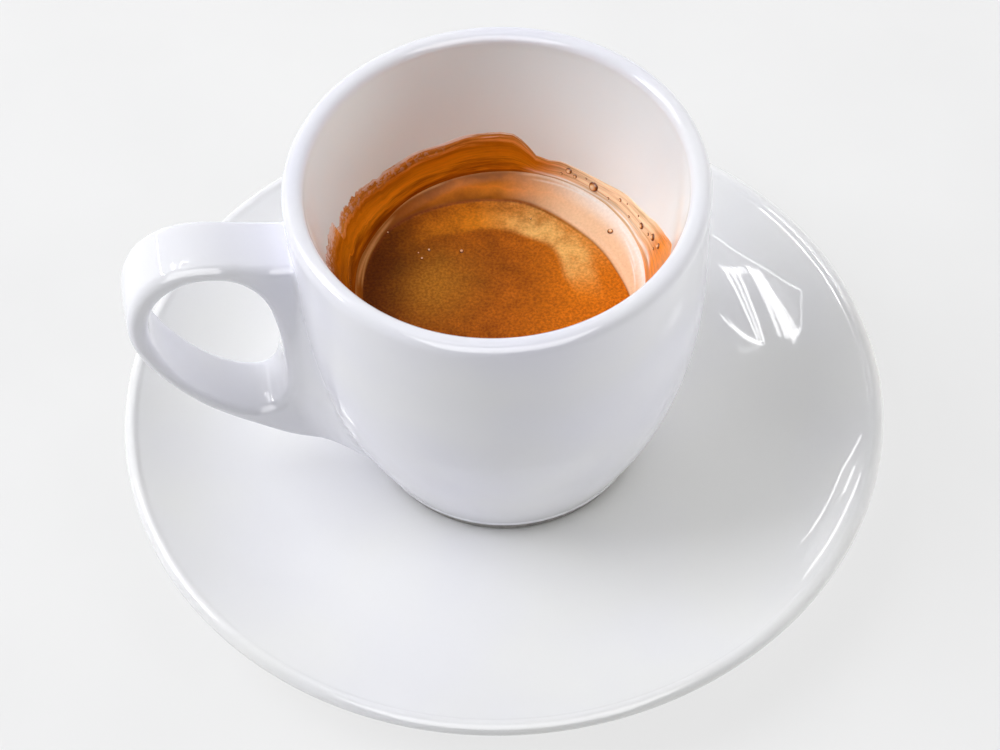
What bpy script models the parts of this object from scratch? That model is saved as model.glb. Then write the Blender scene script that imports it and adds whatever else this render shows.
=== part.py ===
# An espresso shot in its thick porcelain cup, with an ear handle, on a round saucer.
# The model is in metres with +Z up. Its origin is the middle of the saucer's foot, on the table,
# and the handle points along -X, turned a little towards -Y.

import math

import bmesh
import bpy
import numpy as np

MM = 0.001

# The saucer, in millimetres.
SAUCER_RADIUS = 60.0
SAUCER_HEIGHT = 14.0
WELL_HEIGHT = 6.8
WELL_RADIUS = 38.0
LIP_THICKNESS = 2.6
SAUCER_FOOT_OUTER = 36.0
SAUCER_FOOT_INNER = 32.5
SAUCER_FOOT_DEPTH = 2.8
SAUCER_THICKENING = 0.9
RISE_POWER = 1.8

# The cup, in millimetres above the plane that its foot stands on.
CUP_OFFSET_X = 0.5
CUP_HEIGHT = 58.6
CUP_RADIUS = 30.55
CUP_FOOT_RADIUS = 21.0
CUP_FOOT_HEIGHT = 2.0
CUP_FOOT_WIDTH = 2.8
BASE_RECESS = 1.3
TUCK_HEIGHT = 3.1
TUCK_RADIUS = 1.0
BOWL_FULL_HEIGHT = 42.0
BOWL_TUCK = 10.13
BOWL_POWER = 2.2
LIP_RADIUS = 1.55
CUP_FLOOR = 6.5
DEPTH_POWER = 0.965
WIDTH_POWER = 2.53
HOLLOW_STEPS = 18
FOOT_CHAMFER = 0.4
FOOT_SLOPE = 1.0

# The handle, in its own plane through the cup's axis: distance from the axis, then height.
HANDLE_TURN = math.radians(9.7)
HANDLE_HALF_WIDTH = 5.1
HANDLE_EDGE = 1.4
HANDLE_EYE = (42.0, 36.0)
HOLE_OUTLINE = [
    (43.5, 52.8), (47.4, 51.8), (50.4, 49.0), (51.8, 44.5), (51.6, 39.5), (49.6, 33.4), (46.3, 27.6),
    (42.4, 23.4), (38.6, 21.0), (35.8, 21.0), (34.2, 24.0), (33.6, 30.0), (33.8, 38.0), (35.2, 45.8),
    (38.6, 51.0),
]
EAR_OUTLINE = [
    (44.0, 55.9), (48.4, 55.4), (51.8, 53.2), (54.1, 49.3), (55.1, 44.4), (54.6, 39.4), (52.1, 33.2),
    (47.2, 25.3), (42.0, 19.6), (37.8, 16.1), (33.5, 12.4), (28.6, 10.1), (22.4, 10.0), (24.4, 28.0),
    (26.6, 44.0), (28.4, 51.6), (32.6, 52.8), (38.0, 54.5),
]
ROOT_FLARE = 5.8
ROOT_FLARE_TOP = 0.6
FLARE_LOW = 24.0
FLARE_HIGH = 46.0
FLARE_POWER = 2.2

# The drink: a level pool inside a bank of crema that climbs to the wall.
CREMA_CONTACT = 35.6
POOL_LEVEL = 33.8
POOL_RADIUS = 22.1
POOL_CENTRE = (-2.5, -4.9)
BANK_LEAST = 1.4
BANK_POWER = 1.8
DRINK_INSET = 0.33

GAP = 0.3
ROUND_STEPS = 64
DRINK_STEPS = 48
HANDLE_LOOP = 52

GLAZE = (0.86, 0.86, 0.88, 1.0)
CREMA = (0.40, 0.17, 0.04, 1.0)


def clear_scene():
    for old in list(bpy.data.objects):
        bpy.data.objects.remove(old)


def make_material(name, colour, roughness):
    """A plain dielectric finish of one colour."""
    material = bpy.data.materials.new(name)
    material.use_nodes = True
    shader = material.node_tree.nodes["Principled BSDF"]
    shader.inputs["Base Color"].default_value = colour
    shader.inputs["Roughness"].default_value = roughness
    shader.inputs["Metallic"].default_value = 0.0
    return material


def add_object(name, mesh, material):
    thing = bpy.data.objects.new(name, mesh)
    mesh.materials.append(material)
    bpy.context.scene.collection.objects.link(thing)
    return thing


def arc(centre, radius, start, end, count):
    """Points of an arc in the profile plane, with its angles in degrees."""
    angles = np.radians(np.linspace(start, end, count))
    return [(centre[0] + radius * math.cos(a), centre[1] + radius * math.sin(a)) for a in angles]


def turned(name, profile, material):
    """A solid of revolution: the profile runs from the axis at the top, outside, to the axis below."""
    mesh = bpy.data.meshes.new(name)
    points = [(radius * MM, 0.0, height * MM) for radius, height in profile]
    mesh.from_pydata(points, [(i, i + 1) for i in range(len(points) - 1)], [])
    thing = add_object(name, mesh, material)
    screw = thing.modifiers.new("turn", "SCREW")
    screw.steps = ROUND_STEPS
    screw.render_steps = ROUND_STEPS
    screw.use_merge_vertices = True
    screw.merge_threshold = 0.00001
    screw.use_smooth_shade = True
    return thing


def skin(name, rings, material, closed):
    """Joins rings of equal length with quads. An open stack is closed by a fan at each end."""
    mesh = bpy.data.meshes.new(name)
    build = bmesh.new()
    rows = [[build.verts.new(tuple(point)) for point in ring * MM] for ring in rings]
    count = len(rows)
    for i in range(count if closed else count - 1):
        near = rows[i]
        far = rows[(i + 1) % count]
        for j in range(len(near)):
            k = (j + 1) % len(near)
            build.faces.new((near[j], near[k], far[k], far[j]))
    if not closed:
        for row in (rows[0], rows[-1]):
            middle = build.verts.new(sum((vert.co for vert in row), row[0].co * 0) / len(row))
            for j in range(len(row)):
                build.faces.new((middle, row[j], row[(j + 1) % len(row)]))
    bmesh.ops.recalc_face_normals(build, faces=build.faces)
    for face in build.faces:
        face.smooth = True
    build.to_mesh(mesh)
    build.free()
    return add_object(name, mesh, material)


def saucer_top(radius):
    """Height of the saucer's upper face: level in the well, then rising faster and faster."""
    edge = SAUCER_RADIUS - LIP_THICKNESS / 2
    rise = SAUCER_HEIGHT - WELL_HEIGHT
    reach = np.clip((radius - WELL_RADIUS) / (edge - WELL_RADIUS), 0.0, 1.0)
    return WELL_HEIGHT + rise * reach**RISE_POWER


def make_saucer(material):
    edge = SAUCER_RADIUS - LIP_THICKNESS / 2
    lip_centre = (edge, SAUCER_HEIGHT - LIP_THICKNESS / 2)
    upper = [(float(r), float(saucer_top(r))) for r in np.linspace(WELL_RADIUS, edge - 0.8, 8)]
    lip = arc(lip_centre, LIP_THICKNESS / 2, 120, -90, 8)
    lower = []
    for r in np.linspace(edge - 2.0, WELL_RADIUS + 1.0, 6):
        thickness = LIP_THICKNESS + SAUCER_THICKENING * (edge - r) / edge
        lower.append((float(r), float(saucer_top(r)) - thickness))
    foot = [
        (SAUCER_FOOT_OUTER + FOOT_SLOPE, SAUCER_FOOT_DEPTH),
        (SAUCER_FOOT_OUTER, FOOT_CHAMFER),
        (SAUCER_FOOT_OUTER - FOOT_CHAMFER, 0.0),
        (SAUCER_FOOT_INNER + FOOT_CHAMFER, 0.0),
        (SAUCER_FOOT_INNER, FOOT_CHAMFER),
        (SAUCER_FOOT_INNER - FOOT_SLOPE, SAUCER_FOOT_DEPTH),
    ]
    profile = [(0.0, WELL_HEIGHT), *upper, *lip, *lower, *foot, (0.0, SAUCER_FOOT_DEPTH)]
    return turned("saucer", profile, material)


def bowl_radius(height):
    """Outer radius of the cup: it tucks in towards the foot by a power of the depth."""
    depth = np.clip(1.0 - height / BOWL_FULL_HEIGHT, 0.0, 1.0)
    return CUP_RADIUS - BOWL_TUCK * depth**BOWL_POWER


def hollow_profile():
    """The cup's hollow from the middle of its floor up to the mouth, a quarter of a superellipse."""
    turn = np.linspace(0.0, math.pi / 2, HOLLOW_STEPS)
    mouth = CUP_HEIGHT - LIP_RADIUS
    radius = (CUP_RADIUS - 2 * LIP_RADIUS) * np.sin(turn) ** (2 / WIDTH_POWER)
    depth = np.maximum(np.cos(turn), 0.0) ** (2 / DEPTH_POWER)
    return np.stack([radius, mouth - (mouth - CUP_FLOOR) * depth], 1)


def inner_radius(height):
    """Inner radius of the cup at a height, from the same superellipse."""
    mouth = CUP_HEIGHT - LIP_RADIUS
    depth = np.clip((mouth - height) / (mouth - CUP_FLOOR), 0.0, 1.0)
    return (CUP_RADIUS - 2 * LIP_RADIUS) * (1.0 - depth**DEPTH_POWER) ** (1 / WIDTH_POWER)


def make_cup_body(material):
    mouth = CUP_HEIGHT - LIP_RADIUS
    hollow = [(float(radius), float(height)) for radius, height in hollow_profile()]
    lip = arc((CUP_RADIUS - LIP_RADIUS, mouth), LIP_RADIUS, 180, 0, 7)
    heights = mouth - (mouth - TUCK_HEIGHT) * np.linspace(0.2, 1.0, 11) ** 0.8
    outside = [(float(bowl_radius(z)), float(z)) for z in heights]
    tuck = arc((CUP_FOOT_RADIUS + 0.1, TUCK_HEIGHT), TUCK_RADIUS, -25, -90, 3)
    foot = [
        (CUP_FOOT_RADIUS, CUP_FOOT_HEIGHT),
        (CUP_FOOT_RADIUS, FOOT_CHAMFER),
        (CUP_FOOT_RADIUS - FOOT_CHAMFER, 0.0),
        (CUP_FOOT_RADIUS - CUP_FOOT_WIDTH, 0.0),
        (CUP_FOOT_RADIUS - CUP_FOOT_WIDTH - FOOT_SLOPE, BASE_RECESS),
        (0.0, BASE_RECESS),
    ]
    return turned("cup", [*hollow, *lip[1:], *outside, *tuck, *foot], material)


def closed_curve(points, count):
    """A smooth closed curve through the points (Catmull-Rom), as an array of points."""
    knots = np.array(points)
    before = np.roll(knots, 1, axis=0)
    after = np.roll(knots, -1, axis=0)
    beyond = np.roll(knots, -2, axis=0)
    t = np.linspace(0.0, 1.0, count, endpoint=False)[:, None, None]
    curve = 0.5 * (
        2 * knots
        + (after - before) * t
        + (2 * before - 5 * knots + 4 * after - beyond) * t**2
        + (3 * knots - before - 3 * after + beyond) * t**3
    )
    return curve.transpose(1, 0, 2).reshape(-1, 2)


def by_angle(points, angles):
    """The closed curve read at given angles round the eye of the handle."""
    curve = closed_curve(points, 40) - np.array(HANDLE_EYE)
    bearing = np.unwrap(np.arctan2(curve[:, 1], curve[:, 0]))
    order = np.argsort(bearing % (2 * math.pi))
    bearing = (bearing % (2 * math.pi))[order]
    reach = np.hypot(curve[:, 0], curve[:, 1])[order]
    distance = np.interp(angles, bearing, reach, period=2 * math.pi)
    return np.array(HANDLE_EYE) + distance[:, None] * np.stack([np.cos(angles), np.sin(angles)], 1)


def strap_section(depth):
    """A rounded oblong: depth from the hole's face outwards, and sideways offset."""
    edge = HANDLE_EDGE
    side = HANDLE_HALF_WIDTH
    points = [(0.0, 0.0)]
    points += arc((edge, side - edge), edge, 180, 90, 4)
    points += [(edge + (depth - 2 * edge) * f, side) for f in (0.2, 0.4, 0.6, 0.8)]
    points += arc((depth - edge, side - edge), edge, 90, 0, 4)
    points += [(depth, 0.0)]
    points += arc((depth - edge, edge - side), edge, 0, -90, 4)
    points += [(depth - edge - (depth - 2 * edge) * f, -side) for f in (0.2, 0.4, 0.6, 0.8)]
    points += arc((edge, edge - side), edge, 270, 180, 4)
    return np.array(points)


def flare(reach, side, height):
    """Spreads the strap round the cup as it nears the wall, most of all low down."""
    low_share = np.clip((FLARE_HIGH - height) / (FLARE_HIGH - FLARE_LOW), 0.0, 1.0)
    low_share = low_share**2 * (3 - 2 * low_share)
    width = ROOT_FLARE_TOP + (ROOT_FLARE - ROOT_FLARE_TOP) * low_share
    radius = np.hypot(reach, side)
    clearance = np.clip((radius - bowl_radius(height)) / width, 0.0, 1.0)
    spread = width * (1.0 - clearance) ** FLARE_POWER * side / HANDLE_HALF_WIDTH
    bearing = np.arctan2(side, reach) + spread / radius
    return radius * np.cos(bearing), radius * np.sin(bearing)


def make_handle(material):
    """A closed ring between the hole's outline and the ear's, whose inner side is in the cup's wall."""
    angles = np.linspace(0.0, 2 * math.pi, HANDLE_LOOP, endpoint=False)
    hole = by_angle(HOLE_OUTLINE, angles)
    ear = by_angle(EAR_OUTLINE, angles)
    rings = []
    for near, far in zip(hole, ear):
        depth = float(np.hypot(*(far - near)))
        section = strap_section(depth)
        plane = near + (far - near) * (section[:, :1] / depth)
        reach, side = flare(plane[:, 0], section[:, 1], plane[:, 1])
        x = -reach * math.cos(HANDLE_TURN) + side * math.sin(HANDLE_TURN)
        y = -reach * math.sin(HANDLE_TURN) - side * math.cos(HANDLE_TURN)
        rings.append(np.stack([x, y, plane[:, 1]], 1))
    return skin("handle", rings, material, closed=True)


def make_cup(material):
    body = make_cup_body(material)
    handle = make_handle(material)
    handle.hide_render = True
    handle.display_type = "WIRE"
    join = body.modifiers.new("handle", "BOOLEAN")
    join.operation = "UNION"
    join.solver = "EXACT"
    join.object = handle
    place = (CUP_OFFSET_X * MM, 0.0, (WELL_HEIGHT + GAP) * MM)
    body.location = place
    handle.location = place
    return body


def pool_edge(angles, wall):
    """Distance from the cup's axis to the inner edge of the crema bank, an offset circle."""
    along = POOL_CENTRE[0] * np.cos(angles) + POOL_CENTRE[1] * np.sin(angles)
    across = POOL_CENTRE[0] * np.sin(angles) - POOL_CENTRE[1] * np.cos(angles)
    edge = along + np.sqrt(POOL_RADIUS**2 - across**2)
    return np.minimum(edge, wall - BANK_LEAST)


def make_espresso(material):
    """The drink: pool, bank and the wall's own shape under them, drawn in by the gap."""
    angles = np.linspace(0.0, 2 * math.pi, DRINK_STEPS, endpoint=False)
    wall = float(inner_radius(CREMA_CONTACT)) - DRINK_INSET
    edge = pool_edge(angles, wall)
    rings = []

    def add_ring(radius, height):
        rings.append(np.stack([radius * np.cos(angles), radius * np.sin(angles), height + 0 * angles], 1))

    for share in (0.4, 0.8, 1.0):
        add_ring(edge * share, POOL_LEVEL)
    for share in (0.35, 0.7, 1.0):
        climb = (CREMA_CONTACT - POOL_LEVEL) * share**BANK_POWER
        add_ring(edge + (wall - edge) * share, POOL_LEVEL + climb)
    hollow = hollow_profile()
    run = np.gradient(hollow, axis=0)
    run /= np.hypot(run[:, 0], run[:, 1])[:, None]
    inset = hollow + DRINK_INSET * np.stack([-run[:, 1], run[:, 0]], 1)
    for radius, height in inset[::-1]:
        if height < CREMA_CONTACT - 1.0 and radius > 1.0:
            add_ring(radius, height)
    drink = skin("espresso", rings, material, closed=False)
    drink.location = (CUP_OFFSET_X * MM, 0.0, (WELL_HEIGHT + GAP) * MM)
    return drink


def main():
    clear_scene()
    porcelain = make_material("porcelain", GLAZE, 0.12)
    coffee = make_material("crema", CREMA, 0.35)
    make_saucer(porcelain)
    make_cup(porcelain)
    make_espresso(coffee)


main()
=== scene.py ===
import math

import bpy
import numpy as np
from mathutils import Matrix, Vector


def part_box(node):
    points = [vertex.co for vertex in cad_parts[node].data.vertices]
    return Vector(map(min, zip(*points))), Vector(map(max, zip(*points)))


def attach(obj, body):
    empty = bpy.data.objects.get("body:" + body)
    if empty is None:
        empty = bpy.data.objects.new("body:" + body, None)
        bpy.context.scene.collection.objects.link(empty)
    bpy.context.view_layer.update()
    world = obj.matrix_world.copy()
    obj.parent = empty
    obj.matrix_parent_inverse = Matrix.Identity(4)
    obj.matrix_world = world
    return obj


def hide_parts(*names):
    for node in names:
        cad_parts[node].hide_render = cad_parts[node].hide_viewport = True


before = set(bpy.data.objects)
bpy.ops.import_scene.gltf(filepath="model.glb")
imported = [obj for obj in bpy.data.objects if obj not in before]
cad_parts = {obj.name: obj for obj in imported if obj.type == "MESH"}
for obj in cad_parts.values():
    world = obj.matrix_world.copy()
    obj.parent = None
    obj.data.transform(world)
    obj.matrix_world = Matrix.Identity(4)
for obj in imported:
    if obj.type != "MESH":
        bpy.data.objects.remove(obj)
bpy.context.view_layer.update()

mm = 0.001

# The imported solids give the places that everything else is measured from.
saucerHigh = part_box("saucer")[1]
cupLow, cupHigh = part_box("cup")
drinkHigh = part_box("espresso")[1]
cupBase = cupLow[2] / mm
cupAxisX = (cupHigh[0] + cupLow[1]) / mm

print("frame loaded, cup stands at", round(cupBase, 2), "mm")


# Helpers for shapes.

def softNoise(u, v, scale, seed, waves=24):
    # A sum of plane waves with random directions and phases, about 1 / scale long, mean 0, spread about 1.
    draw = np.random.default_rng(seed)
    angle = draw.uniform(0, 2 * np.pi, waves)
    pitch = scale * draw.uniform(0.5, 1.5, waves)
    phase = draw.uniform(0, 2 * np.pi, waves)
    total = 0.0
    for i in range(waves):
        total = total + np.sin(pitch[i] * (np.cos(angle[i]) * u + np.sin(angle[i]) * v) + phase[i])
    return total * math.sqrt(2.0 / waves)


def smoothStep(low, high, x):
    # 0 below low, 1 above high, and 3 t^2 - 2 t^3 of the way t between them.
    t = np.clip((x - low) / (high - low), 0, 1)
    return t * t * (3 - 2 * t)


def setMarks(mesh, marks):
    # Each mark is a number for each point, which the materials read by its name.
    for label, values in marks.items():
        layer = mesh.attributes.new(label, "FLOAT", "POINT")
        layer.data.foreach_set("value", np.asarray(values, np.float32).ravel())


def makePiece(name, points, faces, marks=None):
    # Points in millimetres and quads or triangles become a smooth mesh piece in metres.
    mesh = bpy.data.meshes.new(name)
    faces = np.asarray(faces)
    mesh.vertices.add(len(points))
    mesh.vertices.foreach_set("co", (np.asarray(points) * mm).astype(np.float32).ravel())
    corners = faces[faces >= 0]
    sizes = (faces >= 0).sum(1)
    mesh.loops.add(len(corners))
    mesh.loops.foreach_set("vertex_index", corners.astype(np.int32))
    mesh.polygons.add(len(faces))
    mesh.polygons.foreach_set("loop_start", np.concatenate([[0], np.cumsum(sizes)[:-1]]).astype(np.int32))
    mesh.polygons.foreach_set("use_smooth", np.ones(len(faces), bool))
    mesh.update(calc_edges=True)
    mesh.validate()
    setMarks(mesh, marks or {})
    piece = bpy.data.objects.new(name, mesh)
    bpy.context.scene.collection.objects.link(piece)
    return piece


def gridFaces(rows, cols, wrapRows, wrapCols):
    # Quads of a grid whose points run along each row; wrapped ways join the last line to the first.
    i = np.arange(rows if wrapRows else rows - 1)[:, None]
    j = np.arange(cols if wrapCols else cols - 1)[None, :]
    a = i * cols + j
    b = i * cols + (j + 1) % cols
    c = ((i + 1) % rows) * cols + (j + 1) % cols
    d = ((i + 1) % rows) * cols + j
    return np.stack([a, b, c, d], -1).reshape(-1, 4)


def capFaces(ring, middle, flip):
    # A fan of triangles from one middle point to a closed ring of points.
    turned = np.roll(ring, -1)
    pair = (turned, ring) if flip else (ring, turned)
    return np.stack([pair[0], pair[1], np.full(len(ring), middle), np.full(len(ring), -1)], -1)


def curveThrough(points, count):
    # Open Catmull-Rom curve through the points, read at even steps of its own parameter.
    knots = np.array(points, float)
    padded = np.vstack([2 * knots[0] - knots[1], knots, 2 * knots[-1] - knots[-2]])
    t = np.linspace(0, len(knots) - 1, count)
    k = np.minimum(t.astype(int), len(knots) - 2)
    f = (t - k)[:, None]
    a, b, c, d = padded[k], padded[k + 1], padded[k + 2], padded[k + 3]
    return 0.5 * (2 * b + (c - a) * f + (2 * a - 5 * b + 4 * c - d) * f**2 + (3 * b - a - 3 * c + d) * f**3)


def arcPoints(centre, radius, start, end, count):
    # Points of an arc in the plane of radius and height, angles in degrees.
    a = np.radians(np.linspace(start, end, count))
    return np.stack([centre[0] + radius * np.cos(a), centre[1] + radius * np.sin(a)], 1)


def lipPoints(centre, radius, power, start, end, count):
    # Like an arc, but a superellipse: a power above 2 flattens the top and tightens the corners.
    a = np.radians(np.linspace(start, end, count))
    c, d = np.cos(a), np.sin(a)
    across = np.sign(c) * np.abs(c) ** (2 / power)
    up = np.sign(d) * np.abs(d) ** (2 / power)
    return np.stack([centre[0] + radius * across, centre[1] + radius * up], 1)


def evenSteps(profile, step):
    # The same outline with points about one step apart, so that a turned skin has even faces.
    run = np.concatenate([[0], np.cumsum(np.hypot(*np.diff(profile, axis=0).T))])
    keep = np.concatenate([[True], np.diff(run) > 1e-6])
    run, profile = run[keep], profile[keep]
    at = np.linspace(0, run[-1], max(3, int(run[-1] / step)))
    return np.stack([np.interp(at, run, profile[:, k]) for k in (0, 1)], 1)


def turnProfile(profile, around, centreX=0.0, wobble=None):
    # Each point (r, z) of the profile goes round the axis: x = r cos a, y = r sin a, with both ends on it.
    angle = np.linspace(0, 2 * np.pi, around, endpoint=False)
    radius = profile[1:-1, 0][:, None] * np.ones(around)
    height = profile[1:-1, 1][:, None] * np.ones(around)
    if wobble:
        radius, height = wobble(radius, height, angle[None, :])
    ring = np.stack([centreX + radius * np.cos(angle), radius * np.sin(angle), height], -1).reshape(-1, 3)
    rows = len(profile) - 2
    points = np.vstack([ring, [centreX, 0, profile[0, 1]], [centreX, 0, profile[-1, 1]]])
    quads = gridFaces(rows, around, False, True)[:, ::-1]
    first = capFaces(np.arange(around), rows * around, False)
    last = capFaces(np.arange(around) + (rows - 1) * around, rows * around + 1, True)
    return points, np.vstack([quads, first, last])


def outwardCheck(points, faces):
    # Turns all faces round when the signed volume of the closed skin is negative.
    tri = faces[:, :3]
    a, b, c = points[tri[:, 0]], points[tri[:, 1]], points[tri[:, 2]]
    volume = np.einsum("ij,ij->i", a, np.cross(b, c)).sum()
    return faces if volume > 0 else np.ascontiguousarray(faces[:, ::-1])


# Helpers for materials.

class Nodes:
    # Short names for building a node tree: add a node, set its sockets, link what is a socket.
    def __init__(self, name):
        self.material = bpy.data.materials.new(name)
        self.material.use_nodes = True
        self.tree = self.material.node_tree
        self.shader = self.tree.nodes["Principled BSDF"]

    def add(self, kind, values=None, **settings):
        node = self.tree.nodes.new(kind)
        for key, value in settings.items():
            setattr(node, key, value)
        for key, value in (values or {}).items():
            self.put(node.inputs[key], value)
        return node

    def put(self, socket, value):
        if isinstance(value, bpy.types.NodeSocket):
            self.tree.links.new(value, socket)
        else:
            socket.default_value = value

    def ramp(self, factor, stops):
        node = self.add("ShaderNodeValToRGB", {"Fac": factor})
        elements = node.color_ramp.elements
        while len(elements) < len(stops):
            elements.new(0.5)
        for element, (place, colour) in zip(elements, stops):
            element.position = place
            element.color = (*colour, 1.0) if len(colour) == 3 else colour
        return node.outputs["Color"]

    def mix(self, factor, a, b, blend="MIX"):
        node = self.add("ShaderNodeMix", data_type="RGBA", blend_type=blend)
        self.put(node.inputs["Factor"], factor)
        self.put(node.inputs["A"], a)
        self.put(node.inputs["B"], b)
        return node.outputs["Result"]

    def math(self, operation, a, b):
        node = self.add("ShaderNodeMath", operation=operation)
        self.put(node.inputs[0], a)
        self.put(node.inputs[1], b)
        return node.outputs[0]

    def part(self, name, share):
        # A mark of the piece, turned down to the given share.
        return self.math("MULTIPLY", self.mark(name), share)

    def span(self, value, low, high, start=0.0, end=1.0):
        # The value from start to end becomes low to high, in a straight line.
        limits = {"From Min": start, "From Max": end, "To Min": low, "To Max": high}
        return self.add("ShaderNodeMapRange", {"Value": value, **limits}).outputs[0]

    def mark(self, name):
        return self.add("ShaderNodeAttribute", attribute_name=name).outputs["Fac"]

    def place(self):
        return self.add("ShaderNodeTexCoord").outputs["Object"]

    def noise(self, scale, detail=3.0, rough=0.5, where=None):
        settings = {"Vector": where or self.place(), "Scale": scale, "Detail": detail, "Roughness": rough}
        return self.add("ShaderNodeTexNoise", settings).outputs["Fac"]

    def unevenness(self, scale, detail, share):
        # Noise round zero, turned down to the given share.
        return self.math("MULTIPLY", self.math("SUBTRACT", self.noise(scale, detail), 0.5), share)

    def bump(self, height, strength, distance):
        node = self.add("ShaderNodeBump", {"Height": height, "Strength": strength, "Distance": distance})
        return node.outputs["Normal"]


def sRgb(red, green, blue):
    # Screen values 0 to 255 as linear light, for Blender's colour sockets.
    c = np.array([red, green, blue]) / 255
    return tuple(float(x) for x in np.where(c <= 0.04045, c / 12.92, ((c + 0.055) / 1.055) ** 2.4))


def glazeMaterial(name, cool, warm, inside=None):
    # White glaze: a hint of cool and warm cloudiness, long soft waves in the gloss, and on the bare, rough
    # foot a grey that is painted contact shadow.
    n = Nodes(name)
    cloud = n.noise(38, 2)
    grain = n.noise(900, 3)
    white = n.ramp(cloud, [(0.35, cool), (0.65, warm)])
    if inside:
        # The hollow's wall is a cooler white, painted to cancel the warm light that the crema throws on it.
        white = n.mix(n.mark("inner"), white, (*inside, 1))
    # The bare foot is grey: a painted contact shadow, not the colour of the clay.
    footShadow = n.ramp(grain, [(0.3, glaze["footShadowDark"]), (0.7, glaze["footShadowLight"])])
    bare = n.mark("bare")
    n.put(n.shader.inputs["Base Color"], n.mix(bare, white, footShadow))
    polish = n.span(n.noise(120, 4), glaze["smooth"], glaze["rough"])
    rough = n.add("ShaderNodeMix", data_type="FLOAT")
    n.put(rough.inputs["Factor"], bare)
    n.put(rough.inputs["A"], polish)
    n.put(rough.inputs["B"], glaze["clayRough"])
    n.put(n.shader.inputs["Roughness"], rough.outputs["Result"])
    n.put(n.shader.inputs["IOR"], glaze["ior"])
    wave = n.noise(glaze["waveScale"], 1)
    n.put(n.shader.inputs["Normal"], n.bump(wave, glaze["waveStrength"], 0.001))
    return n.material


glaze = {
    "cool": sRgb(237, 237, 239),
    "warm": sRgb(240, 240, 238),
    "cupCool": sRgb(235, 235, 244),
    "cupWarm": sRgb(240, 240, 243),
    # A cooler white for the hollow's wall, painted to cancel the crema's warm bounce light.
    "cupInside": sRgb(243, 249, 251),
    # The greys of the bare foot ring are painted contact shadow.
    "footShadowDark": sRgb(112, 109, 106),
    "footShadowLight": sRgb(150, 147, 143),
    "smooth": 0.02,
    "rough": 0.045,
    "ior": 1.5,
    "waveScale": 60,
    "waveStrength": 0.03,
    "clayRough": 0.75,
}


# The saucer.

saucer = {
    "radius": saucerHigh[0] / mm,
    "height": saucerHigh[2] / mm,
    "well": 6.8,
    "wellRadius": 38.0,
    "lip": 2.6,
    "footOuter": 36.0,
    "footInner": 32.5,
    "footDepth": 2.8,
    "footEdge": 0.4,
    "thinner": 0.9,
    "risePower": 1.8,
    "unevenFrom": (40, 60),
    "around": 300,
    "step": 0.55,
}


def saucerTop(radius):
    # Level in the well, then the height grows with a power of the way to the edge.
    edge = saucer["radius"] - saucer["lip"] / 2
    way = np.clip((radius - saucer["wellRadius"]) / (edge - saucer["wellRadius"]), 0, 1)
    return saucer["well"] + (saucer["height"] - saucer["well"]) * way ** saucer["risePower"]


def saucerProfile():
    # From the middle over the well, the rise and the round lip, back under to the foot ring.
    half = saucer["lip"] / 2
    edge = saucer["radius"] - half
    out = np.linspace(0, edge - 0.75, 90)
    lip = arcPoints((edge, saucer["height"] - half), half, 122, -88, 22)
    back = np.linspace(edge - 1.6, saucer["wellRadius"] + 1.2, 40)
    under = saucerTop(back) - saucer["lip"] - saucer["thinner"] * (edge - back) / edge
    outer, inner, deep = saucer["footOuter"], saucer["footInner"], saucer["footDepth"]
    outside = curveThrough([(outer + 2.0, under[-1] - 0.02), (outer + 0.6, deep - 0.5), (outer, 0.8)], 12)
    bend = saucer["footEdge"]
    outerEdge = arcPoints((outer - bend, bend), bend, 0, -90, 6)
    innerEdge = arcPoints((inner + bend, bend), bend, -90, -180, 6)
    inside = curveThrough([(inner, 0.9), (inner - 0.5, deep - 0.5), (inner - 2.0, deep), (0, deep)], 30)
    top, low = np.stack([out, saucerTop(out)], 1), np.stack([back, under], 1)
    return evenSteps(np.vstack([top, lip, low, outside, outerEdge, innerEdge, inside]), saucer["step"])


def thrownUneven(radius, height, angle):
    # The edge is out of round by a few tenths of a millimetre: a sum of cosines that grows outwards.
    out = smoothStep(*saucer["unevenFrom"], radius)
    drawn = 0.12 * np.cos(2 * angle + 0.7) + 0.07 * np.cos(3 * angle - 0.4) - 0.2
    return radius + out * drawn, height - out * (0.06 + 0.05 * np.cos(2 * angle - 0.9))


points, faces = turnProfile(saucerProfile(), saucer["around"], 0.0, thrownUneven)
# The saucer's bare foot gets the same grey of painted contact shadow.
saucerMarks = {"bare": 1 - smoothStep(0.15, 0.4, points[:, 2])}
saucerPiece = makePiece("saucerGlazed", points, outwardCheck(points, faces), saucerMarks)
print("saucer made,", len(faces), "faces")


# The cup's body.

cup = {
    "height": (cupHigh[2] - cupLow[2]) / mm,
    "radius": 30.55,
    "footRadius": 21.0,
    "footHeight": 2.0,
    "footWidth": 2.8,
    "footEdge": 0.4,
    "fullHeight": 42.0,
    "tuck": 10.13,
    "tuckPower": 2.2,
    "lip": 1.55,
    "lipPower": 2.5,
    "floor": 6.5,
    "innerPower": 0.965,
    "innerRound": 1.0 / 2.53,
    "around": 288,
    "step": 0.62,
}


def bowlRadius(height):
    # The outside tucks in towards the foot by a power of the depth under the full width.
    depth = np.clip(1 - height / cup["fullHeight"], 0, 1)
    return cup["radius"] - cup["tuck"] * depth ** cup["tuckPower"]


def innerRadius(height):
    # The hollow is egg-shaped, widest just under the lip.
    mouth = cup["height"] - cup["lip"]
    depth = np.clip((mouth - height) / (mouth - cup["floor"]), 0, 1)
    return (cup["radius"] - 2 * cup["lip"]) * (1 - depth ** cup["innerPower"]) ** cup["innerRound"]


def hollowCurve(highest, lowest, count):
    # Points of the hollow's wall, closer together towards its floor.
    z = highest + (lowest - highest) * np.linspace(0, 1, count) ** 0.6
    return np.stack([innerRadius(z), z], 1)


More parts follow.
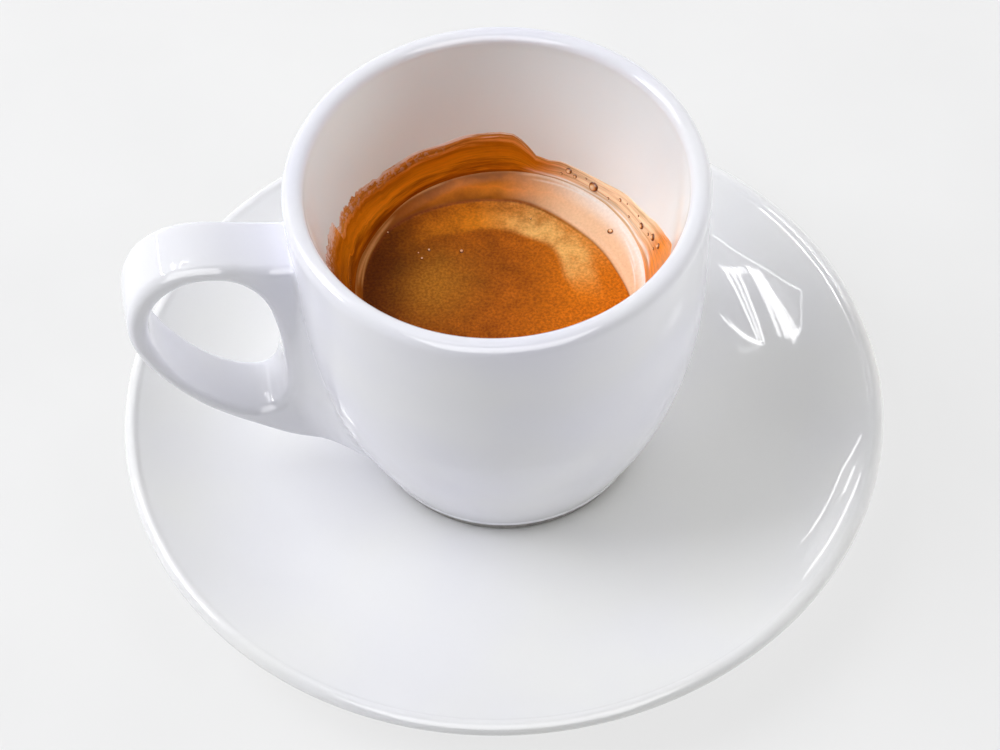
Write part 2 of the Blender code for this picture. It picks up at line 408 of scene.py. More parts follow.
def cupProfile():
    # From the middle of the floor up the hollow, over the lip, down the outside and under the foot.
    mouth = cup["height"] - cup["lip"]
    hollow = hollowCurve(mouth, cup["floor"], 160)[::-1]
    lip = lipPoints((cup["radius"] - cup["lip"], mouth), cup["lip"], cup["lipPower"], 178, 2, 60)
    z = np.linspace(mouth - 0.5, 3.0, 90)
    foot = cup["footRadius"]
    tuck = arcPoints((foot + 0.1, 3.1), 1.0, -20, -90, 8)
    bend = cup["footEdge"]
    inner = foot - cup["footWidth"]
    ring = np.vstack([
        [(foot, cup["footHeight"] - 0.15)],
        arcPoints((foot - bend, bend), bend, 0, -90, 6),
        arcPoints((inner + bend, bend), bend, -90, -180, 6),
        curveThrough([(inner - 0.1, 0.8), (inner - 1.4, 1.3), (0, 1.3)], 24),
    ])
    return evenSteps(np.vstack([hollow, lip, np.stack([bowlRadius(z), z], 1), tuck, ring]), cup["step"])


# The handle.

handle = {
    "turn": math.radians(9.7),
    "halfWidth": 5.1,
    "edge": 1.5,
    "crown": 0.22,
    "eye": (42.0, 36.0),
    "hole": [
        (43.5, 52.8), (47.4, 51.8), (50.4, 49.0), (51.8, 44.5), (51.6, 39.5), (49.6, 33.4), (46.3, 27.6),
        (42.4, 23.4), (38.6, 21.0), (35.8, 21.0), (34.2, 24.0), (33.6, 30.0), (33.8, 38.0), (35.2, 45.8),
        (38.6, 51.0),
    ],
    "ear": [
        (44.0, 55.9), (48.4, 55.4), (51.8, 53.2), (54.1, 49.3), (55.1, 44.4), (54.6, 39.4), (52.1, 33.2),
        (47.2, 25.3), (42.0, 19.6), (37.8, 16.1), (33.5, 12.4), (28.6, 10.1), (22.4, 10.0), (24.4, 28.0),
        (26.6, 44.0), (28.4, 51.6), (32.6, 52.8), (38.0, 54.5),
    ],
    "flare": 5.8,
    "flareTop": 0.6,
    "flareLow": 24.0,
    "flareHigh": 46.0,
    "flarePower": 2.2,
    "loop": 220,
}


def closedCurve(points, count):
    # Closed Catmull-Rom curve through the points, count steps between each two.
    knots = np.array(points)
    a, c, d = np.roll(knots, 1, 0), np.roll(knots, -1, 0), np.roll(knots, -2, 0)
    t = np.linspace(0, 1, count, endpoint=False)[:, None, None]
    square = (2 * a - 5 * knots + 4 * c - d) * t**2
    cube = (3 * knots - a - 3 * c + d) * t**3
    curve = 0.5 * (2 * knots + (c - a) * t + square + cube)
    return curve.transpose(1, 0, 2).reshape(-1, 2)


def readByAngle(points, angles):
    # The closed curve as a distance from the handle's eye, read at the given angles round it.
    eye = np.array(handle["eye"])
    curve = closedCurve(points, 60) - eye
    bearing = np.arctan2(curve[:, 1], curve[:, 0]) % (2 * np.pi)
    order = np.argsort(bearing)
    reach = np.interp(angles, bearing[order], np.hypot(curve[:, 0], curve[:, 1])[order], period=2 * np.pi)
    kernel = np.array([1, 4, 6, 4, 1]) / 16
    for _ in range(6):
        reach = np.convolve(np.concatenate([reach[-2:], reach, reach[:2]]), kernel, "valid")
    return eye + reach[:, None] * np.stack([np.cos(angles), np.sin(angles)], 1)


def strapSection(depth):
    # A rounded oblong with slightly crowned broad faces: way from the hole outwards, then sideways.
    edge, side = handle["edge"], handle["halfWidth"]
    edge = min(edge, depth * 0.47)
    across = np.linspace(edge - side, side - edge, 11)
    along = np.linspace(edge, depth - edge, 18)
    inner = np.stack([0 * across, across], 1)
    top = arcPoints((edge, side - edge), edge, 180, 90, 9)[1:-1]
    right = np.stack([along, 0 * along + side], 1)
    corner = arcPoints((depth - edge, side - edge), edge, 90, 0, 9)[1:-1]
    outer = np.stack([0 * across + depth, -across], 1)
    low = arcPoints((depth - edge, edge - side), edge, 0, -90, 9)[1:-1]
    left = np.stack([along[::-1], 0 * along - side], 1)
    last = arcPoints((edge, edge - side), edge, 270, 180, 9)[1:-1]
    section = np.vstack([inner, top, right, corner, outer, low, left, last])
    pull = handle["crown"] * (section[:, 1] / side) ** 2
    section[:, 0] += pull * np.interp(section[:, 0], [0, depth], [1, -1])
    return section


def flareOut(reach, side, height):
    # Near the wall the strap spreads round the cup by a power of what is left of the way to it.
    low = 1 - smoothStep(handle["flareLow"], handle["flareHigh"], height)
    width = handle["flareTop"] + (handle["flare"] - handle["flareTop"]) * low
    radius = np.hypot(reach, side)
    clear = np.clip((radius - bowlRadius(height)) / width, 0, 1)
    spread = width * (1 - clear) ** handle["flarePower"] * side / handle["halfWidth"]
    bearing = np.arctan2(side, reach) + spread / radius
    return radius * np.cos(bearing), radius * np.sin(bearing)


def handleSurface():
    # For each angle round the eye a section lies between the hole's outline and the ear's.
    angles = np.linspace(0, 2 * np.pi, handle["loop"], endpoint=False)
    hole, ear = readByAngle(handle["hole"], angles), readByAngle(handle["ear"], angles)
    rings = []
    for near, far in zip(hole, ear):
        depth = float(np.hypot(*(far - near)))
        section = strapSection(depth)
        plane = near + (far - near) * (section[:, :1] / depth)
        reach, side = flareOut(plane[:, 0], section[:, 1], plane[:, 1])
        turn = handle["turn"]
        x = cupAxisX - reach * math.cos(turn) + side * math.sin(turn)
        y = -reach * math.sin(turn) - side * math.cos(turn)
        rings.append(np.stack([x, y, cupBase + plane[:, 1]], 1))
    rings = np.array(rings)
    return rings.reshape(-1, 3), gridFaces(rings.shape[0], rings.shape[1], True, True)


def joinPieces(piece, tool):
    # The tool's volume is added to the piece's, and the tool goes.
    join = piece.modifiers.new("join", "BOOLEAN")
    join.operation = "UNION"
    join.solver = "EXACT"
    join.object = tool
    bpy.context.view_layer.update()
    joined = bpy.data.meshes.new_from_object(piece.evaluated_get(bpy.context.evaluated_depsgraph_get()))
    piece.modifiers.clear()
    piece.data = joined
    bpy.data.objects.remove(tool)


def cupMarks(mesh):
    # Bare clay below a height, where the grey is painted contact shadow, and the hollow's wall: the points
    # close to its radius, up to the lip.
    places = np.empty(len(mesh.vertices) * 3, np.float32)
    mesh.vertices.foreach_get("co", places)
    places = places.reshape(-1, 3) / mm
    heights = places[:, 2] - cupBase
    reaches = np.hypot(places[:, 0] - cupAxisX, places[:, 1])
    mouth = cup["height"] - cup["lip"]
    within = (reaches < innerRadius(np.minimum(heights, mouth)) + 0.5) & (heights > cup["floor"] - 1)
    return {
        "bare": 1 - smoothStep(cup["footHeight"] - 0.5, cup["footHeight"] - 0.2, heights),
        # The hollow's wall takes the cooler white that is painted against the crema's warm bounce light.
        "inner": within * (1 - smoothStep(mouth, mouth + 1.0, heights)),
    }


points, faces = turnProfile(cupProfile(), cup["around"], cupAxisX)
points[:, 2] += cupBase
cupPiece = makePiece("cupGlazed", points, outwardCheck(points, faces))
points, faces = handleSurface()
joinPieces(cupPiece, makePiece("handleTool", points, outwardCheck(points, faces)))
setMarks(cupPiece.data, cupMarks(cupPiece.data))
print("cup made,", len(cupPiece.data.polygons), "faces")


# The drink.

drink = {
    "contact": (drinkHigh[2] - cupLow[2]) / mm,
    "pool": 33.8,
    "poolRadius": 22.1,
    "poolCentre": (-2.5, -4.9),
    "bankLeast": 1.4,
    "bankPower": 1.8,
    "step": 0.28,
    "around": 480,
    "rows": 150,
    "into": 0.12,
    "aboveFloor": 0.3,
    "swooshCentre": (-2.45, -4.4),
    "swooshRadius": 15.76,
    "swooshInward": 2.2,
    "oliveCentre": (-11.0, 1.4),
    "oliveRadius": 6.8,
    "lineWidth": 0.17,
    "paleInward": 1.15,
    # painted highlight lines: distance from the wall and half width in mm, from and to in degrees round the
    # cup
    "shineLines": [
        (0.7, 0.17, 36, 84), (1.15, 0.13, 44, 78), (0.45, 0.1, 50, 86), (0.9, 0.16, -5, 33),
        (1.6, 0.12, 2, 26), (2.1, 0.1, -8, 16), (0.5, 0.16, 108, 152), (0.8, 0.18, 136, 180),
        (1.2, 0.12, 146, 180),
    ],
}


def poolEdge(angle, wall):
    # Distance from the axis to a circle that is set off from it, held inside the wall.
    cx, cy = drink["poolCentre"]
    along = cx * np.cos(angle) + cy * np.sin(angle)
    across = cx * np.sin(angle) - cy * np.cos(angle)
    edge = along + np.sqrt(drink["poolRadius"] ** 2 - across**2)
    return np.minimum(edge, wall - drink["bankLeast"])


def drinkTop(radius, angle, wall):
    # Height of the crema: level pool, a small step at the bank's edge, then a power of the way to the wall.
    edge = poolEdge(angle, wall)
    share = np.clip((radius - edge) / (wall - edge), 0, 1)
    x, y = radius * np.cos(angle), radius * np.sin(angle)
    climb = drink["contact"] - drink["pool"] - drink["step"]
    height = drink["pool"] + climb * share ** drink["bankPower"]
    height += drink["step"] * smoothStep(-0.35, 0.35, radius - edge)
    ripple = 0.05 * np.sin(2.4 * radius + 1.2 * softNoise(x, y, 0.16, 5)) * smoothStep(0.02, 0.3, share)
    swell = 0.03 * softNoise(x, y, 0.35, 8) * (1 - smoothStep(0.9, 1.0, radius / wall))
    return height + ripple + swell, share


def drinkSurface():
    # Polar grid over the top, then rows down the wall to the floor of the hollow.
    angle = np.linspace(0, 2 * np.pi, drink["around"], endpoint=False)[None, :]
    wall = float(innerRadius(drink["contact"])) + drink["into"]
    radius = wall * np.linspace(0, 1, drink["rows"] + 1)[1:, None] ** 0.9 * np.ones_like(angle)
    height, share = drinkTop(radius, angle, wall)
    bottom = cup["floor"] + drink["aboveFloor"]
    below = hollowCurve(drink["contact"] - 0.4, bottom, 24)
    lowRadius = below[:, :1] + drink["into"] + 0 * angle
    lowHeight = below[:, 1:] + 0 * angle
    radius, height = np.vstack([radius, lowRadius]), np.vstack([height, lowHeight])
    share = np.vstack([share, np.ones_like(lowRadius)])
    rings = np.stack([cupAxisX + radius * np.cos(angle), radius * np.sin(angle), cupBase + height], -1)
    rows, cols = radius.shape
    poles = [[cupAxisX, 0, cupBase + drink["pool"]], [cupAxisX, 0, cupBase + bottom]]
    points = np.vstack([rings.reshape(-1, 3), poles])
    quads = gridFaces(rows, cols, False, True)[:, ::-1]
    first = capFaces(np.arange(cols), rows * cols, False)
    last = capFaces(np.arange(cols) + (rows - 1) * cols, rows * cols + 1, True)
    return points, np.vstack([quads, first, last]), np.append(share.ravel(), [0, 1])


def angleMask(degrees, low, rise, fall, high):
    # 0 up to low, 1 from rise to fall, 0 again past high, all in degrees round the cup.
    return smoothStep(low, rise, degrees) * (1 - smoothStep(fall, high, degrees))


def contactShine(degrees, inward):
    # Painted highlights in thin light lines along the wall: the greatest of bell curves of the distance,
    # each on its stretch.
    shine = 0.35 * np.exp(-(((inward - 0.4) / 0.2) ** 2))
    for middle, half, start, end in drink["shineLines"]:
        line = np.exp(-(((inward - middle - 0.12 * np.sin(degrees * 0.11 + middle * 5)) / half) ** 2))
        shine = np.maximum(shine, line * angleMask(degrees, start, start + 9, end - 9, end))
    return shine


def drinkMarks(points, share):
    # Where the crema is lighter or darker, each from 0 to 1 and worked out from circles on its surface;
    # several of them are painted light and painted shade, as noted at each.
    x, y = points[:, 0] - cupAxisX, points[:, 1]
    radius, angle = np.hypot(x, y), np.arctan2(y, x)
    degrees = np.degrees(angle)
    wall = float(innerRadius(drink["contact"])) + drink["into"]
    toEdge = radius - poolEdge(angle, wall)
    wander = 0.25 * softNoise(x, y, 0.5, 31)
    sx, sy = drink["swooshCentre"]
    turn = angleMask(degrees, -50, -20, -2, 52)
    outOf = np.hypot(x - sx, y - sy) - drink["swooshRadius"] + wander + drink["swooshInward"] * turn
    swoosh = smoothStep(-0.4, 0.9, outOf) * angleMask(degrees, -25, 30, 95, 165) * (toEdge < 0.1)
    lean = drink["paleInward"] * angleMask(degrees, -25, 12, 35, 82)
    stain = np.clip((toEdge + lean) / (wall - radius + toEdge + lean), 0, 1)
    line = np.exp(-((toEdge + 0.3 * wander + lean) / drink["lineWidth"]) ** 2)
    ox, oy = drink["oliveCentre"]
    return {
        "bank": np.where(share < 1, stain, 1),
        # Painted shadow: a dark line at the foot of the bank, on the side away from the light.
        "line": line * angleMask(degrees, 24, 60, 140, 178),
        "swoosh": swoosh * (1 - (0.5 + 0.5 * turn) * smoothStep(1.5 + 1.5 * turn, 5.0, outOf)),
        "swooshRight": angleMask(degrees, -20, 20, 60, 108),
        # Painted sheen: a near-white wash on the bank at the right.
        "whiteSheen": 0.95 * angleMask(degrees, -60, -20, 40, 72) * smoothStep(0.42, 0.9, stain),
        "olive": np.exp(-(((x - ox) ** 2 + (y - oy) ** 2) / drink["oliveRadius"] ** 2)),
        # Painted shade: the left of the pool, in the shadow of the cup's wall.
        "left": smoothStep(9.0, 19.5, -x + 0.25 * y + 2 * wander),
        # Painted light: the right of the pool, where the light falls past the wall.
        "right": smoothStep(-2.0, 14.0, x - 0.2 * y + 2 * wander),
        # Painted light and sheen: the bank on the right, which faces the light.
        "paleLit": angleMask(degrees, -60, -20, 46, 92) * smoothStep(0.0, 0.12, stain),
        "front": smoothStep(7.0, 19.0, -y),
        # Painted shade: the bank on the left, which faces away from the light.
        "awayShade": angleMask(degrees % 360, 100, 140, 230, 280),
        # Painted highlights along the crema's edge at the wall.
        "contact": contactShine(degrees, wall - radius),
    }


points, faces, bankShare = drinkSurface()
drinkPiece = makePiece("espressoCrema", points, outwardCheck(points, faces), drinkMarks(points, bankShare))
print("drink made,", len(faces), "faces")


# The film of crema left on the wall.

film = {
    # degrees round the cup and heights in mm of the upper edge
    "outline": [
        (-190, 44.2), (-176, 47.6), (-166, 49.3), (-150, 50.2), (-120, 49.2), (-90, 48.6), (-60, 49.0),
        (-30, 49.6), (-10, 47.8), (1, 44.2), (7, 42.7), (16, 41.0), (27, 39.8), (36, 39.2), (44, 38.6),
        (51, 38.25), (58, 38.2), (64, 38.3), (69, 38.05), (74, 38.4), (77, 39.7), (80, 40.9), (83, 41.8),
        (88, 42.2), (95, 42.1), (110, 42.0), (127, 42.1), (142, 42.7), (150, 43.4), (159, 44.0),
        (170, 45.4),
    ],
    "thick": 0.22,
    "thin": 0.03,
    "around": 900,
    "rows": 64,
    "backRows": 6,
    "belowContact": 0.7,
    "intoWall": 0.06,
}


def filmTop(angle):
    # Height of the film's upper edge: the outline round the wall, with runs and frayed streaks at the left.
    knots = np.array(film["outline"])
    degrees = np.degrees(angle)
    top = np.interp(degrees, knots[:, 0], knots[:, 1], period=360)
    frayed = angleMask(degrees % 360, 120, 150, 200, 230)
    x, y = 57 * np.cos(angle), 57 * np.sin(angle)
    fray = 0.34 * np.abs(softNoise(x, y, 0.8, 11)) + 0.16 * np.abs(softNoise(x, y, 1.9, 12))
    return top + 0.12 * softNoise(x, y, 0.25, 13) - frayed * fray


def glintLines(degrees, up):
    # Painted highlights: two thin white lines low on the film at the right, along the drink's edge.
    low = np.exp(-(((up - 0.24 - 0.02 * np.sin(degrees * 0.2)) / 0.05) ** 2))
    high = 0.6 * np.exp(-(((up - 0.4 - 0.03 * np.sin(degrees * 0.13 + 1)) / 0.035) ** 2))
    return low * angleMask(degrees, -2, 6, 60, 80) + high * angleMask(degrees, 14, 24, 44, 62)


def filmSurface():
    # A thin closed skin on the wall: (around, up) grid inside, and a coarser one just under the glaze.
    angle = np.linspace(-0.5 * np.pi, 1.5 * np.pi, film["around"], endpoint=False)[None, :]
    top = filmTop(angle)
    low = drink["contact"] - film["belowContact"]
    up = np.linspace(0, 1, film["rows"])[:, None] ** 0.8
    height = low + (top - low) * up
    degrees = np.degrees(angle)
    fade = np.sqrt(np.clip(1 - up**6, 0, 1))
    band = up * 9 + 0 * angle
    x, y = np.cos(angle) * 6 + 0 * up, np.sin(angle) * 6 + 0 * up
    streak = softNoise(x + 0.4 * y, band, 1.1, 21) + 0.6 * softNoise(x - y, band, 2.6, 22)
    left = smoothStep(100, 170, degrees) * (1 - smoothStep(215, 250, degrees))
    depth = film["thin"] + (film["thick"] - film["thin"]) * fade * (1 + (0.2 + 0.35 * left) * streak)
    depth = np.maximum(depth, film["thin"]) * np.where(up < 1, 1, 0)
    radius = innerRadius(height) - depth
    inner = np.stack([radius * np.cos(angle), radius * np.sin(angle), height], -1)
    backUp = np.linspace(1, 0, film["backRows"])[:, None]
    backHeight = low + (top - low) * backUp
    radius = innerRadius(backHeight) + film["intoWall"]
    outer = np.stack([radius * np.cos(angle), radius * np.sin(angle), backHeight + 0 * angle], -1)
    sheet = np.concatenate([inner, outer])
    sheet[..., 0] += cupAxisX
    sheet[..., 2] += cupBase
    rows, cols = sheet.shape[:2]
    allUp = np.concatenate([up, backUp]) + 0 * angle
    around = degrees + 0 * allUp
    marks = {
        "up": allUp,
        # Paler at the right: the film is thin there, and the paleness is also painted light.
        "paleLit": angleMask(around, -2, 9, 50, 84 - 14 * allUp),
        # Painted highlights in two thin white lines.
        "glints": glintLines(around, allUp),
        # Pale specks on the frayed edge: partly pale stain, partly painted glints.
        "frayed": 0.55 * smoothStep(0.72, 0.95, allUp) * angleMask(around, 100, 130, 205, 230),
        # Painted shade: the film on the left and front left, which faces away from the light.
        "near": angleMask(around, 168, 196, 225, 262),
        "end": angleMask(around, -86, -50, -4, 30 - 14 * allUp),
    }
    return sheet.reshape(-1, 3), gridFaces(rows, cols, True, True), {k: v.ravel() for k, v in marks.items()}


points, faces, filmMarks = filmSurface()
filmPiece = makePiece("cremaFilm", points, outwardCheck(points, faces), filmMarks)
print("film made,", len(faces), "faces")


# The bubbles.

bubbles = {
    # on the wall: degrees round the cup, height and radius in mm; on the pool: x, y and radius in mm
    "wall": [
        (60, 37.5, 0.5), (57, 37.0, 0.34), (48, 36.9, 0.8), (34, 38.1, 0.3), (18, 38.5, 0.52),
        (8, 40.3, 0.56), (1, 41.6, 0.44), (40, 36.7, 0.22), (27, 37.1, 0.2), (52, 37.5, 0.2),
        (12, 39.2, 0.26), (4, 39.6, 0.22), (22, 39.0, 0.16), (63, 36.6, 0.22), (30, 38.6, 0.16),
    ],
    "pool": [
        (-10.6, 7.9, 0.28), (-11.7, 6.3, 0.26), (-12.2, 7.4, 0.18), (-5.7, 7.4, 0.36), (-16.8, 11.6, 0.22),
        (16.9, 9.5, 0.46), (5.0, 13.2, 0.16),
    ],
    "flat": 0.62,
    "around": 36,
    "rows": 18,
}


def bubbleDome(centre, normal, radius):
    # A flattened ball whose middle lies on the surface, with rows from pole to pole along the normal.
    normal = np.array(normal, float) / np.linalg.norm(normal)
    side = np.cross(normal, [0.3, 0.2, 1.0])
    side /= np.linalg.norm(side)
    other = np.cross(normal, side)
    polar = np.linspace(0, np.pi, bubbles["rows"] + 1)[1:-1, None, None]
    angle = np.linspace(0, 2 * np.pi, bubbles["around"], endpoint=False)[None, :, None]
    around = np.sin(polar) * (np.cos(angle) * side + np.sin(angle) * other)
    ring = centre + radius * (around + np.cos(polar) * bubbles["flat"] * normal)
    poles = centre + radius * bubbles["flat"] * np.array([normal, -normal])
    rows, cols = ring.shape[:2]
    quads = gridFaces(rows, cols, False, True)
    first = capFaces(np.arange(cols), rows * cols, True)
    last = capFaces(np.arange(cols) + (rows - 1) * cols, rows * cols + 1, False)
    rise = np.append((np.cos(polar) + 0 * angle).ravel(), [1, -1])
    points = np.vstack([ring.reshape(-1, 3), poles])
    return points, outwardCheck(points, np.vstack([quads, first, last])), rise


def allBubbles():
    # Bubbles on the wall film look inwards, those on the pool look up.
    domes = []
    for degrees, height, size in bubbles["wall"]:
        a = math.radians(degrees)
        radius = float(innerRadius(height)) - film["thick"]
        centre = [cupAxisX + radius * math.cos(a), radius * math.sin(a), cupBase + height]
        domes.append(bubbleDome(np.array(centre), (-math.cos(a), -math.sin(a), 0.35), size))
    for x, y, size in bubbles["pool"]:
        radius, a = math.hypot(x, y), math.atan2(y, x)
        wall = float(innerRadius(drink["contact"])) + drink["into"]
        height = float(drinkTop(np.array([radius]), np.array([a]), wall)[0][0])
        domes.append(bubbleDome(np.array([cupAxisX + x, y, cupBase + height]), (0, 0, 1), size))
    offsets = np.cumsum([0] + [len(p) for p, _, _ in domes])
    shifted = [np.where(f >= 0, f + start, -1) for (_, f, _), start in zip(domes, offsets)]
    return np.vstack([p for p, _, _ in domes]), np.vstack(shifted), np.concatenate([r for _, _, r in domes])


points, faces, rise = allBubbles()
bubblePiece = makePiece("cremaBubbles", points, faces, {"rise": rise})
print("bubbles made,", len(faces), "faces")


# The crema's colours.

crema = {
    "poolBrown": sRgb(150, 77, 5),
    "poolOrange": sRgb(196, 105, 14),
    "poolDark": sRgb(94, 44, 2),
    # Brighter orange of the pool's right: painted light.
    "poolRight": sRgb(232, 130, 12),
    "olive": sRgb(206, 142, 44),
    "swoosh": sRgb(255, 204, 122),
    "swooshWarm": sRgb(250, 154, 32),
    # Dark line colour: painted shadow of the bank's step.
    "line": sRgb(140, 66, 6),
    "bankDark": sRgb(150, 84, 8),
    "bankMid": sRgb(228, 134, 34),
    # Darker bank on the left: painted shade.
    "bankAwayShade": sRgb(144, 78, 4),
    # Pale bank on the right: painted light and sheen.
    "bankLitPale": sRgb(252, 208, 168),
    # Near-white of the bank's painted sheen.
    "bankSheenWhite": sRgb(255, 244, 236),
    # Painted highlight colours at the crema's edge, tan and near-white.
    "contact": sRgb(226, 166, 100),
    "shine": sRgb(255, 250, 246),
    "filmLow": sRgb(160, 80, 3),
    "filmDeep": sRgb(204, 112, 4),
    "filmMid": sRgb(238, 142, 20),
    # Darker film on the left: painted shade.
    "filmShaded": sRgb(146, 70, 0),
    "filmEdge": sRgb(226, 146, 70),
    "filmStain": sRgb(236, 206, 190),
    # Pale film at the right: thin film, and painted light.
    "filmThinLit": sRgb(255, 222, 184),
    "filmEnd": sRgb(244, 140, 10),
    # A bubble's colours from root to crown go from painted shade up to a painted highlight.
    "bubbleRingShade": sRgb(96, 42, 4),
    "bubbleSide": sRgb(120, 56, 8),
    "bubbleLight": sRgb(232, 156, 76),
    "bubbleHighlight": sRgb(255, 226, 190),
    "swirlScale": 110,
    "patchScale": 420,
    "bandScale": 300,
    "grainScale": 2300,
    "gloss": 0.07,
}


def foamGrain(n, colour, amount):
    # Fine foam: the colour is multiplied by a little more or less than one, and the same grain is the bump.
    grain = n.noise(crema["grainScale"], 2, 0.6)
    factor = n.ramp(grain, [(0.36, (0.71, 0.65, 0.54)), (0.64, (1.12, 1.12, 1.08))])
    return grain, n.mix(amount, colour, factor, "MULTIPLY")


def cremaMaterial():
    # The pool is swirled brown foam; the bank round it is lighter and banded parallel to the wall, with
    # painted shade, painted light and painted highlights on it.
    n = Nodes("cremaTop")
    swirl = n.noise(crema["swirlScale"], 4, 0.6)
    patch = n.noise(crema["patchScale"], 3, 0.6)
    mixed = n.math("ADD", n.math("MULTIPLY", swirl, 0.65), n.math("MULTIPLY", patch, 0.35))
    pool = n.ramp(mixed, [(0.38, crema["poolBrown"]), (0.6, crema["poolOrange"])])
    # The right of the pool is brightened as painted light.
    pool = n.mix(n.part("right", 0.8), pool, (*crema["poolRight"], 1))
    pool = n.mix(n.part("olive", 0.7), pool, (*crema["olive"], 1))
    # The left of the pool is darkened as painted shade of the cup's wall.
    pool = n.mix(n.part("left", 0.85), pool, (*crema["poolDark"], 1))
    pool = n.mix(n.part("front", 0.28), pool, (*crema["poolDark"], 1))
    swoosh = n.part("swoosh", n.span(patch, 0.45, 1.0, 0.3, 0.65))
    tan = n.mix(n.mark("swooshRight"), (*crema["swooshWarm"], 1), (*crema["swoosh"], 1))
    pool = n.mix(swoosh, pool, tan)
    bank = n.mark("bank")
    band = n.math("ADD", bank, n.unevenness(crema["bandScale"], 3, 0.7))
    rim = n.ramp(band, [(0.0, crema["bankDark"]), (0.45, crema["bankMid"]), (0.9, crema["bankDark"])])
    # The bank on the left is darkened as painted shade.
    rim = n.mix(n.part("awayShade", 0.8), rim, (*crema["bankAwayShade"], 1))
    # The bank on the right is paler as painted light and sheen.
    rim = n.mix(n.mark("paleLit"), rim, (*crema["bankLitPale"], 1))
    # Painted sheen on the bank at the right.
    rim = n.mix(n.mark("whiteSheen"), rim, (*crema["bankSheenWhite"], 1))
    # Painted highlights where the crema meets the wall, whiter where the paleLit mark is.
    lit = n.mix(n.mark("paleLit"), (*crema["contact"], 1), (*crema["shine"], 1))
    rim = n.mix(n.part("contact", 0.92), rim, lit)
    onBank = n.span(bank, 0.0, 1.0, 0.0, 0.05)
    colour = n.mix(onBank, pool, rim)
    # Painted shadow of the bank's step along the pool's edge, on the side away from the light.
    colour = n.mix(n.part("line", 0.88), colour, (*crema["line"], 1))
    calm = n.math("MAXIMUM", onBank, n.math("MULTIPLY", swoosh, 0.7))
    depth = n.span(calm, 1.0, 0.2)
    grain, colour = foamGrain(n, colour, depth)
    n.put(n.shader.inputs["Base Color"], colour)
    polish = n.span(onBank, 0.5, 0.26)
    n.put(n.shader.inputs["Roughness"], n.math("ADD", polish, n.math("MULTIPLY", patch, 0.1)))
    n.put(n.shader.inputs["Specular IOR Level"], crema["gloss"])
    n.put(n.shader.inputs["Normal"], n.bump(n.math("MULTIPLY", grain, depth), 0.5, 0.00025))
    return n.material


def filmMaterial():
    # The film is deep amber in streaks that follow its band, and pale at the right, where it is thin and
    # where the paleness is also painted light.
    n = Nodes("cremaFilmStain")
    up = n.mark("up")
    where = n.add("ShaderNodeSeparateXYZ", {"Vector": n.place()})
    flow = n.add("ShaderNodeCombineXYZ")
    n.put(flow.inputs["X"], n.math("MULTIPLY", where.outputs["X"], 70.0))
    n.put(flow.inputs["Y"], n.math("MULTIPLY", where.outputs["Y"], 70.0))
    n.put(flow.inputs["Z"], n.math("MULTIPLY", up, 7.0))
    streak = n.noise(1.6, 4, 0.65, flow.outputs[0])
    level = n.math("ADD", up, n.math("MULTIPLY", n.math("SUBTRACT", streak, 0.5), 0.5))
    tones = ("filmLow", "filmMid", "filmDeep", "filmEdge", "filmStain")
    stops = [(place, crema[tone]) for place, tone in zip((0.06, 0.4, 0.72, 0.93, 1.0), tones)]
    colour = n.ramp(level, stops)
    # Pale at the right: thin film and painted light.
    colour = n.mix(n.mark("paleLit"), colour, (*crema["filmThinLit"], 1))
    colour = n.mix(n.part("end", 0.85), colour, (*crema["filmEnd"], 1))
    # The film on the left is darkened as painted shade.
    colour = n.mix(n.part("near", 0.75), colour, (*crema["filmShaded"], 1))
    # Painted highlights in two thin white lines.
    colour = n.mix(n.part("glints", 0.9), colour, (*crema["shine"], 1))
    shade = n.ramp(streak, [(0.36, (0.6, 0.54, 0.4)), (0.64, (1.2, 1.2, 1.25))])
    colour = n.mix(0.8, colour, n.mix(1.0, colour, shade, "MULTIPLY"))
    # Pale specks at the frayed edge, partly stain and partly painted glints.
    speck = n.ramp(n.noise(1400, 2), [(0.5, (0, 0, 0)), (0.58, (1, 1, 1))])
    colour = n.mix(n.part("frayed", speck), colour, (*crema["filmStain"], 1))
    n.put(n.shader.inputs["Base Color"], colour)
    n.put(n.shader.inputs["Roughness"], n.span(streak, 0.1, 0.34))
    n.put(n.shader.inputs["Specular IOR Level"], crema["gloss"])
    n.put(n.shader.inputs["Normal"], n.bump(n.math("ADD", streak, n.noise(900, 2)), 0.25, 0.0003))
    return n.material


def bubbleMaterial():
    # A bubble is painted with a highlight on its crown and a dark ring of painted shade where it meets the
    # foam.
    n = Nodes("cremaBubbleSkin")
    level = n.math("ADD", n.mark("rise"), n.unevenness(1200, 2, 0.2))
    tones = ("bubbleRingShade", "bubbleSide", "bubbleLight", "bubbleHighlight")
    stops = [(place, crema[tone]) for place, tone in zip((0.0, 0.62, 0.82, 1.0), tones)]
    n.put(n.shader.inputs["Base Color"], n.ramp(level, stops))
    n.put(n.shader.inputs["Roughness"], n.span(n.noise(800, 2), 0.05, 0.14))
    n.put(n.shader.inputs["Normal"], n.bump(n.noise(2500, 2), 0.05, 0.0002))
    return n.material


saucerGlaze = glazeMaterial("saucerGlaze", glaze["cool"], glaze["warm"])
cupGlaze = glazeMaterial("cupGlaze", glaze["cupCool"], glaze["cupWarm"], glaze["cupInside"])
finishes = [
    (saucerPiece, "saucer", "porcelain", saucerGlaze),
    (cupPiece, "cup", "porcelain", cupGlaze),
    (drinkPiece, "espresso", "crema", cremaMaterial()),
    (filmPiece, None, "crema", filmMaterial()),
    (bubblePiece, None, "crema", bubbleMaterial()),
]
for piece, node, slotName, material in finishes:
    piece.data.materials.clear()
    piece.data.materials.append(material)
    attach(piece, "root")
    if node:
        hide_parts(node)
print("materials set")


# Floor, light and camera.

